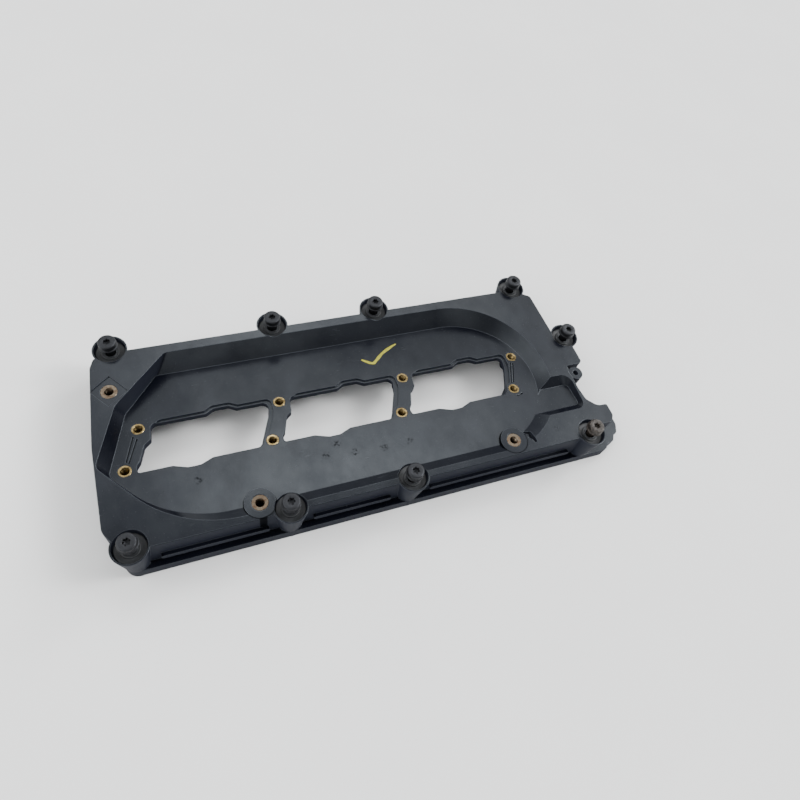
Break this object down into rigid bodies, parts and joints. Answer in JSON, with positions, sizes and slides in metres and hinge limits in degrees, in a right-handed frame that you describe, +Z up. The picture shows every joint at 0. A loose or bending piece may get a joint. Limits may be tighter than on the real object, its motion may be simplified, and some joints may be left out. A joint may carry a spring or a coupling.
{
  "type": "engine valve cover",
  "caption": "Plastic valve cover with a sunk, tilted pan, ports through its floor, brass inserts and captive screws in rubber-bushed cups.",
  "frame": {"origin": "centre of the cover's outline on the sealing face, level with the screw tips", "axes": "+X along the length, +Y from the front wall to the far wall, +Z up from the sealing face"},
  "size_m": [0.3694, 0.1574, 0.0433],
  "materials": {
    "black_plastic": "moulded glass-filled nylon, satin, lightly scuffed",
    "gasket_rubber": "moulded seal, dark brown",
    "grommet_rubber": "moulded, dusty black",
    "screw_steel": "black phosphated steel, one head rusty",
    "sleeve_steel": "dull zinc plate",
    "brass": "turned brass, bright",
    "deck_brass": "tarnished, coppery"
  },
  "bodies": {
    "cover_body": {"cover": "black_plastic", "gasket": "gasket_rubber", "grommet_a": "grommet_rubber", "grommet_b": "grommet_rubber", "grommet_c": "grommet_rubber", "grommet_d": "grommet_rubber", "grommet_e": "grommet_rubber", "grommet_f": "grommet_rubber", "grommet_g": "grommet_rubber", "grommet_h": "grommet_rubber", "grommet_i": "grommet_rubber", "sleeve_a": "sleeve_steel", "sleeve_b": "sleeve_steel", "sleeve_c": "sleeve_steel", "sleeve_d": "sleeve_steel", "sleeve_e": "sleeve_steel", "sleeve_f": "sleeve_steel", "sleeve_g": "sleeve_steel", "sleeve_h": "sleeve_steel", "sleeve_i": "sleeve_steel", "insert_far_1": "brass", "insert_far_2": "brass", "insert_far_3": "brass", "insert_far_4": "brass", "insert_near_1": "brass", "insert_near_2": "brass", "insert_near_3": "brass", "insert_near_4": "brass", "insert_deck_1": "deck_brass", "insert_deck_2": "deck_brass", "insert_deck_3": "deck_brass"},
    "screw_a_body": {"screw_a": "screw_steel"},
    "screw_b_body": {"screw_b": "screw_steel"},
    "screw_c_body": {"screw_c": "screw_steel"},
    "screw_d_body": {"screw_d": "screw_steel"},
    "screw_e_body": {"screw_e": "screw_steel"},
    "screw_f_body": {"screw_f": "screw_steel"},
    "screw_g_body": {"screw_g": "screw_steel"},
    "screw_h_body": {"screw_h": "screw_steel"},
    "screw_i_body": {"screw_i": "screw_steel"}
  },
  "joints": [
    {"name": "screw_a_slide", "type": "slide", "parent": "cover_body", "child": "screw_a_body", "axis": [0, 0, 1], "range_m": [-0.0054, 0.003]},
    {"name": "screw_b_slide", "type": "slide", "parent": "cover_body", "child": "screw_b_body", "axis": [0, 0, 1], "range_m": [-0.0054, 0.003]},
    {"name": "screw_c_slide", "type": "slide", "parent": "cover_body", "child": "screw_c_body", "axis": [0, 0, 1], "range_m": [-0.0054, 0.003]},
    {"name": "screw_d_slide", "type": "slide", "parent": "cover_body", "child": "screw_d_body", "axis": [0, 0, 1], "range_m": [-0.0054, 0.003]},
    {"name": "screw_e_slide", "type": "slide", "parent": "cover_body", "child": "screw_e_body", "axis": [0, 0, 1], "range_m": [-0.0054, 0.003]},
    {"name": "screw_f_slide", "type": "slide", "parent": "cover_body", "child": "screw_f_body", "axis": [0, 0, 1], "range_m": [-0.0054, 0.003]},
    {"name": "screw_g_slide", "type": "slide", "parent": "cover_body", "child": "screw_g_body", "axis": [0, 0, 1], "range_m": [-0.0054, 0.003]},
    {"name": "screw_h_slide", "type": "slide", "parent": "cover_body", "child": "screw_h_body", "axis": [0, 0, 1], "range_m": [-0.0054, 0.003]},
    {"name": "screw_i_slide", "type": "slide", "parent": "cover_body", "child": "screw_i_body", "axis": [0, 0, 1], "range_m": [-0.0054, 0.003]}
  ]
}
